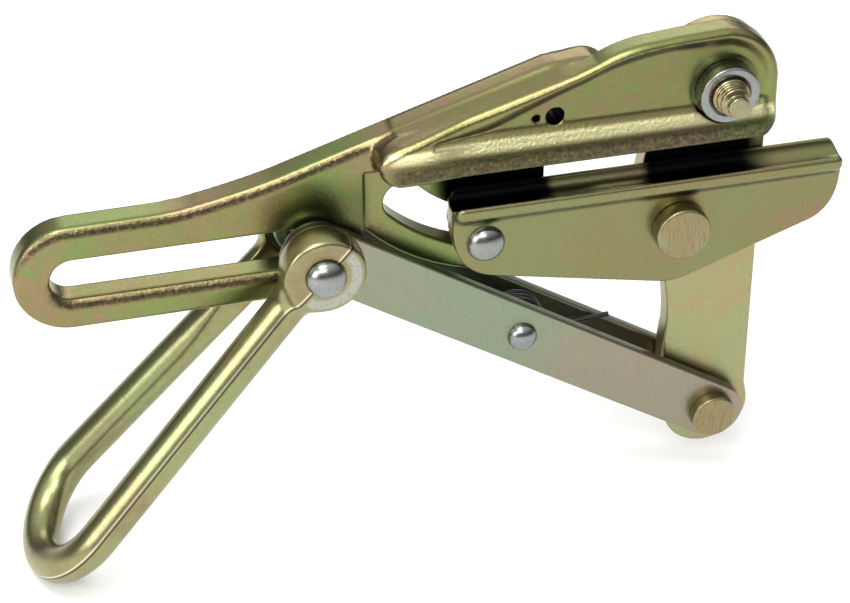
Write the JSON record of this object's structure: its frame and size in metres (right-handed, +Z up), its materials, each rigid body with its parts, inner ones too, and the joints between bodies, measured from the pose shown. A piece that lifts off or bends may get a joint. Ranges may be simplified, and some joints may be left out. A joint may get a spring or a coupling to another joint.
{
  "type": "wire rope grip",
  "caption": "Parallel-jaw wire rope grip: forged body with upper jaw and slotted tail, lever-driven lower jaw, link bars and a U-shaped pull bail.",
  "frame": {"origin": "on the rope seat's axis, at the middle of the upper jaw's length", "axes": "+X along the rope from the slotted tail to the nose with the pivot, +Y away from the side the rope goes in at, +Z up from the rope to the body's ridge"},
  "size_m": [0.2801, 0.06, 0.18],
  "materials": {
    "forging": "forged steel, yellow zinc plated, satin, slightly grainy",
    "plate": "rolled steel, yellow zinc plated, satin with greenish and pink tints",
    "plated_pin": "turned steel, yellow zinc plated, satin",
    "bright": "bright steel, turned and spun",
    "bronze": "plain bronze, satin",
    "spring": "oiled spring steel"
  },
  "bodies": {
    "grip": {"grip_body": "forging", "lockbolt_pin": "bright", "lockbolt_collar": "bright", "pivot_washer": "plated_pin"},
    "lever": {"lever_arm": "plate", "pivot_bush": "bronze", "link_bush": "bronze", "jaw_pin": "plated_pin", "jaw_pin_washer": "plated_pin"},
    "jaw": {"lower_jaw": "forging", "guide_rivet": "bright", "guide_bush": "plated_pin", "guide_washer": "plated_pin"},
    "links": {"front_link_bar": "plate", "rear_link_bar": "plate", "link_pin": "plated_pin", "front_lever_spacer": "bronze", "rear_lever_spacer": "bronze", "spacer_rivet": "bright", "spacer_sleeve": "plated_pin", "torsion_spring": "spring", "bail_pin": "bright", "front_bail_washer": "plated_pin", "rear_bail_washer": "plated_pin"},
    "bail": {"pull_bail": "forging"}
  },
  "joints": [
    {"name": "lever_swing", "type": "hinge", "parent": "grip", "child": "lever", "pos_m": [0.0489, 0.0104, 0.0195], "axis": [0, 1, 0], "range_deg": [0, 23]},
    {"name": "jaw_level", "type": "hinge", "parent": "lever", "child": "jaw", "pos_m": [0.03617, 0.0104, -0.03154], "axis": [0, 1, 0], "range_deg": [-23, 0]},
    {"name": "link_swing", "type": "hinge", "parent": "lever", "child": "links", "pos_m": [0.0531, 0.0104, -0.1123], "axis": [0, 1, 0], "range_deg": [-26.9, 0]},
    {"name": "bail_swing", "type": "hinge", "parent": "links", "child": "bail", "pos_m": [-0.086, 0.0104, -0.024], "axis": [0, 1, 0], "range_deg": [-80, 120]}
  ],
  "couplings": [
    {"joint": "jaw_level", "follows": "lever_swing", "ratio": -1},
    {"joint": "link_swing", "follows": "lever_swing", "ratio": -1.165}
  ]
}
